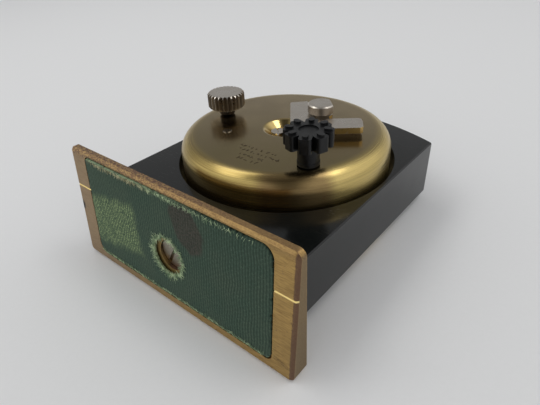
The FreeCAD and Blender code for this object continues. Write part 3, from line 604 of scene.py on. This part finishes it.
def paint_nodes():
    """Give every CAD node the finish that its record slot names."""
    key, setting = arbor_place("key_turn"), arbor_place("setting_knob_turn")
    finishes = {
        "black_lacquer": black_lacquer(),
        "satin_brass": satin_brass(),
        "foot_brass": foot_brass(),
        "bezel_brass": brass("bezel_brass", (0.80, 0.60, 0.27), (0.64, 0.46, 0.19), 0.14),
        "movement_brass": brass("movement_brass", (0.78, 0.62, 0.33), (0.62, 0.47, 0.22), 0.3),
        "marker_gilt": brass("marker_gilt", (0.84, 0.66, 0.32), (0.70, 0.52, 0.24), 0.18),
        "nickel": nickel("nickel", setting.x, setting.y),
        "worn_nickel": nickel("worn_nickel", key.x, key.y, worn=True),
        "steel": steel("steel", (0.50, 0.50, 0.51), 0.25, (0.36, 0.33, 0.28)),
        "dark_steel": steel("dark_steel", (0.035, 0.03, 0.026), 0.3, (0.07, 0.05, 0.035)),
        "black_plastic": black_plastic(),
        "green_felt": green_felt(),
        "glass": clear_glass(),
        "dial_paint": dial_paint(),
        "hand_black": hand_black(),
    }
    for part in frame["record"]["subparts"]:
        mesh = NODES[part["node"]].data
        mesh.materials.clear()
        mesh.materials.append(finishes[part["material_slot"]])
    return finishes


# ---- mesh helpers -------------------------------------------------------------------------
def piece(name, points, faces, material, body="case"):
    """A mesh object from points in the clock's frame, riding on a body."""
    mesh = bpy.data.meshes.new(name)
    mesh.from_pydata([CLOCK @ Vector(point) for point in points], [], faces)
    mesh.materials.append(material)
    mesh.polygons.foreach_set("use_smooth", [True] * len(mesh.polygons))
    thing = bpy.data.objects.new(name, mesh)
    bpy.context.scene.collection.objects.link(thing)
    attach(thing, body)
    return thing


def add_tube(points, faces, path, radii, sides):
    """Closed tube along a path, with a radius at each point of it, into points and faces."""
    start = len(points)
    for step, (place, radius) in enumerate(zip(path, radii)):
        ahead = path[min(step + 1, len(path) - 1)] - path[max(step - 1, 0)]
        side = ahead.cross(Vector((0.31, 0.22, 0.92))).normalized()
        other = ahead.cross(side).normalized()
        for number in range(sides):
            angle = math.tau * number / sides
            points.append(place + (side * math.cos(angle) + other * math.sin(angle)) * radius)
    for step in range(len(path) - 1):
        for number in range(sides):
            after = (number + 1) % sides
            near, far = start + step * sides, start + (step + 1) * sides
            faces.append((near + number, near + after, far + after, far + number))
    last = start + (len(path) - 1) * sides
    faces.append(tuple(start + number for number in reversed(range(sides))))
    faces.append(tuple(last + number for number in range(sides)))


# ---- felt ---------------------------------------------------------------------------------
class FeltShape:
    """The outline and the outer surface of the foot's felt, read from its CAD solid."""

    def __init__(self):
        self.low, self.high = node_box("foot_felt")
        mesh = NODES["foot_felt"].data
        faces = [tuple(polygon.vertices) for polygon in mesh.polygons]
        tree = BVHTree.FromPolygons(node_points("foot_felt"), faces)
        self.steps = 60
        self.rise = []
        for number in range(self.steps + 1):
            z = self.low.z + 0.02 + (self.high.z - self.low.z - 0.04) * number / self.steps
            hit = tree.ray_cast(Vector((self.low.x * 0.6, self.low.y - 5, z)), Vector((0, 1, 0)))
            self.rise.append(hit[0].y)

    def surface(self, z):
        """Y of the felt's outer face at a height."""
        share = (z - self.low.z) / (self.high.z - self.low.z) * self.steps
        step = min(max(int(share), 0), self.steps - 1)
        part = min(max(share - step, 0.0), 1.0)
        return self.rise[step] * (1 - part) + self.rise[step + 1] * part

    def inside(self, x, z):
        """Distance in from the outline; negative outside it."""
        half_x = (self.high.x - self.low.x) / 2
        half_z = (self.high.z - self.low.z) / 2
        east = x - (self.high.x + self.low.x) / 2
        north = z - (self.high.z + self.low.z) / 2
        corner = 2.4 if east * north > 0 else 1.4
        over_x = abs(east) - half_x + corner
        over_z = abs(north) - half_z + corner
        outside = math.hypot(max(over_x, 0), max(over_z, 0)) + min(max(over_x, over_z), 0)
        return corner - outside

    def beyond_hole(self, x, z):
        """Distance outside the screw's hole."""
        return math.hypot(x - FELT_HOLE[0], z - FELT_HOLE[1]) - FELT_HOLE[2]


def soft_step(value, low, high):
    """Smooth step from 0 at low to 1 at high."""
    share = min(max((value - low) / (high - low), 0.0), 1.0)
    return share * share * (3 - 2 * share)


def weave_height(x, z):
    """Plain weave from 0 between the threads to 1 on them, uneven as hand-worn cloth is."""
    wander = noise.noise(Vector((x * 0.15, z * 0.3, 0.0))) * 0.35
    warp = (x + wander) / FELT_PITCH[0]
    weft = (z + noise.noise(Vector((x * 0.3, z * 0.15, 9.0))) * 0.2) / FELT_PITCH[1]
    over = 0.5 + 0.5 * math.cos(math.tau * warp)
    under = 0.5 + 0.5 * math.cos(math.tau * (weft * 0.5 + 0.5 * (round(warp) % 2)))
    return 0.62 * over + 0.38 * over * under + 0.15 * (1 - over) * (1 - under)


def faded_share(x, z):
    """How far the pale worn patch on the felt's left covers a place, from 0 to 1."""
    centre_x, centre_z, half_x, half_z = FADED_PATCH
    turn = math.radians(FADED_TURN)
    east, north = x - centre_x, z - centre_z
    across = east * math.cos(turn) + north * math.sin(turn)
    up = -east * math.sin(turn) + north * math.cos(turn)
    ragged = noise.noise(Vector((x * 0.5, z * 0.5, 4.0))) * 0.9
    inside = min(half_x - abs(across), half_z - abs(up)) + ragged
    return 0.9 * soft_step(inside, -0.8, 1.6)


def stain_share(x, z):
    """How far the dark stain above the screw covers a place, from 0 to 1."""
    centre_x, centre_z, half_x, half_z = STAIN
    east, north = x - centre_x, z - centre_z
    ragged = noise.noise(Vector((x * 0.4, z * 0.4, 2.0))) * 0.8
    reach = math.hypot((east + 0.25 * north) / half_x, north / half_z) + ragged * 0.35
    return 0.9 * soft_step(reach, 1.08, 0.88)


def felt_piece(material):
    """The felt as one closed woven sheet in the foot's pocket, with a ragged outline."""
    shape = FeltShape()
    columns = int((shape.high.x - shape.low.x) / FELT_GRID)
    rows = int((shape.high.z - shape.low.z) / FELT_GRID)
    grid, points, marks = {}, [], []
    for column in range(columns + 1):
        for row in range(rows + 1):
            x = shape.low.x + (shape.high.x - shape.low.x) * column / columns
            z = shape.low.z + (shape.high.z - shape.low.z) * row / rows
            ragged = 0.22 * noise.noise(Vector((x * 1.7, z * 1.7, 1.0)))
            edge = min(shape.inside(x, z) + ragged - 0.1, shape.beyond_hole(x, z) + ragged)
            if edge < -0.02:
                continue
            grid[column, row] = len(points)
            weave = weave_height(x, z)
            pile = noise.noise(Vector((x * 2.3, z * 2.3, 7.0)))
            curl = 0.16 * soft_step(z, shape.high.z - 0.9, shape.high.z) * soft_step(-x, 4, 14)
            sink = 0.12 * soft_step(edge, 0.5, 0.0) * (1 if curl < 0.05 else 0)
            lift = 0.07 * weave + 0.05 * pile + curl - sink
            points.append((x, shape.surface(z) - lift, z))
            rim = soft_step(shape.beyond_hole(x, z) + 0.6 * pile, 0.9, 0.1)
            top = soft_step(z + 0.8 * pile, shape.high.z - 0.75, shape.high.z - 0.1)
            rim = max(rim, top * soft_step(-x, -12, 6) * 0.8,
                      0.5 * soft_step(-z + 0.8 * pile, -shape.low.z - 0.7, -shape.low.z))
            marks.append((weave, faded_share(x, z), stain_share(x, z), rim))
    count = len(points)
    points += [(x, shape.surface(z) + FELT_BACKING, z) for x, _, z in points]
    faces = []
    for column in range(columns):
        for row in range(rows):
            corners = [(column, row), (column, row + 1), (column + 1, row + 1), (column + 1, row)]
            if all(corner in grid for corner in corners):
                face = [grid[corner] for corner in corners]
                faces.append(face)
                faces.append([number + count for number in reversed(face)])
    faces += side_faces(faces, count)
    felt = piece("felt_sheet", points, faces, material)
    for index, name in enumerate(("weave", "faded", "stain", "rim")):
        values = felt.data.attributes.new(name, "FLOAT", "POINT")
        values.data.foreach_set("value", [mark[index] for mark in marks] * 2)
    drop_loose(felt)
    return felt, shape


def side_faces(faces, count):
    """Faces that join the outer sheet's open edges to the sheet behind it."""
    edges = set()
    for face in faces[::2]:
        for first, second in zip(face, face[1:] + face[:1]):
            if (second, first) in edges:
                edges.remove((second, first))
            else:
                edges.add((first, second))
    return [[second, first, first + count, second + count] for first, second in sorted(edges)]


def drop_loose(thing):
    """Remove points that no face uses."""
    mesh = bmesh.new()
    mesh.from_mesh(thing.data)
    loose = [vertex for vertex in mesh.verts if not vertex.link_faces]
    bmesh.ops.delete(mesh, geom=loose, context="VERTS")
    mesh.to_mesh(thing.data)
    mesh.free()


def fray_piece(shape, material):
    """Loose fibres round the screw's hole and along the felt's edges."""
    rng = random.Random(7)
    points, faces = [], []

    def fibre(x, z, heading, length):
        path, radii = [], []
        here = Vector((x, shape.surface(z) - 0.05, z))
        bend = rng.uniform(-0.9, 0.9)
        steps = 5
        for step in range(steps + 1):
            share = step / steps
            path.append(here.copy())
            radii.append(0.045 * (1 - 0.7 * share))
            turn = heading + bend * share
            here = here + Vector((math.cos(turn), 0, math.sin(turn))) * length / steps
            here.y = shape.surface(here.z) - 0.1 - 0.25 * share * rng.uniform(0.3, 1.0)
        add_tube(points, faces, path, radii, 3)

    for _ in range(HOLE_FIBRES):
        angle = rng.uniform(0, math.tau)
        reach = FELT_HOLE[2] + rng.uniform(0.0, 0.5)
        x = FELT_HOLE[0] + reach * math.cos(angle)
        z = FELT_HOLE[1] + reach * math.sin(angle)
        inward = rng.random() < 0.45
        heading = angle + (math.pi if inward else 0) + rng.uniform(-0.9, 0.9)
        fibre(x, z, heading, rng.uniform(0.4, 1.1 if inward else 1.6))
    for _ in range(UPPER_FIBRES):
        x = rng.triangular(shape.low.x + 0.6, shape.high.x - 1.0, shape.low.x + 6)
        fibre(x, shape.high.z - rng.uniform(0.15, 0.6), rng.uniform(-2.6, -0.5),
              rng.uniform(0.3, 1.0))
    for _ in range(LOWER_FIBRES):
        x = rng.uniform(shape.low.x + 1.0, shape.high.x - 1.5)
        fibre(x, shape.low.z + rng.uniform(0.2, 0.7), rng.uniform(0.5, 2.6),
              rng.uniform(0.3, 0.9))
    return piece("felt_fray", points, faces, material)


# ---- punched marks and dial printing ------------------------------------------------------
def punched_marks(material):
    """Four rows of small punched strokes on the cover, which spell nothing."""
    rng = random.Random(11)
    height, pitch = 1.0, 0.95
    points, faces = [], []
    for start, end, y in PUNCHED_ROWS:
        x = start
        while x < end:
            for _ in range(rng.choice((1, 2, 2, 3))):
                lean = rng.choice((0.0, 0.5, -0.5, 1.57))
                length = height * rng.uniform(0.35, 0.9) / 2
                centre = Vector((x + rng.uniform(-0.2, 0.2), y + rng.uniform(-0.25, 0.25), 0.0))
                reach = Vector((math.sin(lean), math.cos(lean), 0)) * length
                path = [centre - reach, centre, centre + reach]
                add_tube(points, faces, path, (0.05, 0.085, 0.05), 6)
            x += pitch * rng.choice((1, 1, 1, 1.7))
    piece("punched_marks", points, faces, material)


def dial_printing(material):
    """Minute track and hour numerals printed on the dial."""
    level = node_box("dial")[0].z - 0.02
    points, faces = [], []
    for minute in range(60):
        angle = math.tau * minute / 60
        length = MINUTE_TICK if minute % 5 else HOUR_TICK
        ray, rise = Vector((math.cos(angle), math.sin(angle), 0)), Vector((0, 0, level))
        path = [ray * (TRACK_RADIUS - length) + rise, ray * TRACK_RADIUS + rise]
        add_tube(points, faces, path, (0.06, 0.06), 6)
    piece("minute_track", points, faces, material)
    for hour in range(1, 13):
        letters = bpy.data.curves.new(f"hour_numeral_{hour}", "FONT")
        letters.body = str(hour)
        letters.align_x, letters.align_y = "CENTER", "CENTER"
        letters.size = NUMERAL_SIZE
        letters.extrude = 0.02
        letters.materials.append(material)
        thing = bpy.data.objects.new(letters.name, letters)
        bpy.context.scene.collection.objects.link(thing)
        angle = math.radians(90 + 30 * hour)
        spot = Vector((NUMERAL_RADIUS * math.cos(angle), NUMERAL_RADIUS * math.sin(angle), level))
        face_out = Matrix.Rotation(math.pi, 4, "Y")
        thing.matrix_world = CLOCK @ Matrix.Translation(spot) @ face_out
        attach(thing, "case")


# ---- stage, lights and camera -------------------------------------------------------------
def pale_floor():
    """A plain matt floor under the clock."""
    paint = Paint("pale_floor")
    tooth = paint.noise(1.2, 4, 0.6)
    paint.set(Base_Color=paint.mix(tooth, (0.80, 0.805, 0.81), (0.83, 0.835, 0.84)))
    paint.set(Roughness=0.75)
    paint.bump(tooth, 0.01)
    half = 2.5
    mesh = bpy.data.meshes.new("floor")
    corners = [(-half, -half, 0), (half, -half, 0), (half, half, 0), (-half, half, 0)]
    mesh.from_pydata(corners, [], [(0, 1, 2, 3)])
    mesh.materials.append(paint.material)
    floor = bpy.data.objects.new("floor", mesh)
    bpy.context.scene.collection.objects.link(floor)


def soft_light(name, azimuth, elevation, distance, width, power):
    """A softbox aimed at the clock. Azimuth is measured from X towards Y, in degrees."""
    lamp = bpy.data.lights.new(name, "AREA")
    lamp.shape = "RECTANGLE"
    lamp.size, lamp.size_y = width, SOFTBOX_HEIGHT
    lamp.energy = power
    lamp.color = SOFTBOX_COLOUR
    thing = bpy.data.objects.new(name, lamp)
    bpy.context.scene.collection.objects.link(thing)
    turn, rise = math.radians(azimuth), math.radians(elevation)
    away = Vector((math.cos(turn) * math.cos(rise), math.sin(turn) * math.cos(rise),
                   math.sin(rise)))
    thing.location = away * distance
    thing.rotation_euler = away.to_track_quat("Z", "Y").to_euler()


def studio():
    """A pale room, darker overhead, behind and in front of the clock, and two softboxes."""
    world = bpy.data.worlds.new("studio")
    bpy.context.scene.world = world
    world.use_nodes = True
    room = Nodes(world.node_tree)
    place = room.add("ShaderNodeTexCoord").outputs["Generated"]
    split = room.add("ShaderNodeSeparateXYZ")
    room.join(place, split.inputs["Vector"])
    turn = math.radians(CAMERA_AZIMUTH + 90)
    away = room.dot(place, (math.cos(turn), math.sin(turn), 0))
    across = room.math("ABSOLUTE", room.dot(place, (math.sin(turn), -math.cos(turn), 0)))
    front = room.math("MAXIMUM", room.ramp(across, 0.12, 0.36, FRONT_WALL, 1.0),
                      room.ramp(away, -0.1, 0.1))
    walls = room.times(room.ramp(away, 0.25, 0.75, 1.0, BACK_WALL), front)
    height = split.outputs["Z"]
    walls = room.times(walls, room.ramp(height, 0.70, 0.95, SIDE_WALLS, CEILING))
    level = room.add("ShaderNodeMix", data_type="FLOAT")
    room.feed(level.inputs[0], room.ramp(height, 0.10, 0.28))
    room.feed(level.inputs[2], HORIZON)
    room.feed(level.inputs[3], walls)
    background = room.tree.nodes["Background"]
    room.join(level.outputs[0], background.inputs["Strength"])
    background.inputs["Color"].default_value = (1.0, 1.005, 1.015, 1)
    soft_light("left_softbox", azimuth=186, elevation=60, distance=0.5, width=0.44,
               power=LEFT_POWER)
    soft_light("right_softbox", azimuth=42, elevation=62, distance=0.6, width=0.26,
               power=RIGHT_POWER)


def camera():
    """The camera, with azimuth measured from looking along Y and roll about its own axis."""
    lens = bpy.data.cameras.new("camera")
    lens.sensor_width = 36
    lens.lens = CAMERA_LENS
    lens.clip_start = 0.001
    lens.clip_end = 50
    thing = bpy.data.objects.new("camera", lens)
    bpy.context.scene.collection.objects.link(thing)
    base = Vector(((cad_low.x + cad_high.x) / 2, (cad_low.y + cad_high.y) / 2, cad_low.z))
    turn = Matrix.Rotation(math.radians(CAMERA_AZIMUTH), 4, "Z")
    rise = Matrix.Rotation(math.radians(90 - CAMERA_ELEVATION), 4, "X")
    roll = Matrix.Rotation(math.radians(CAMERA_ROLL), 4, "Z")
    thing.matrix_world = Matrix.Translation(base + Vector(CAMERA_PLACE) * MM) @ turn @ rise @ roll
    bpy.context.scene.camera = thing


def main():
    """Light the room, paint the CAD nodes, and add the felt, the fibres and the marks."""
    bpy.context.scene.view_settings.view_transform = "Standard"
    camera()
    studio()
    pale_floor()
    finishes = paint_nodes()
    felt, shape = felt_piece(finishes["green_felt"])
    fray = fray_piece(shape, frayed_thread())
    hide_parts("foot_felt")
    punched_marks(dark_mark())
    dial_printing(printed_ink())


main()
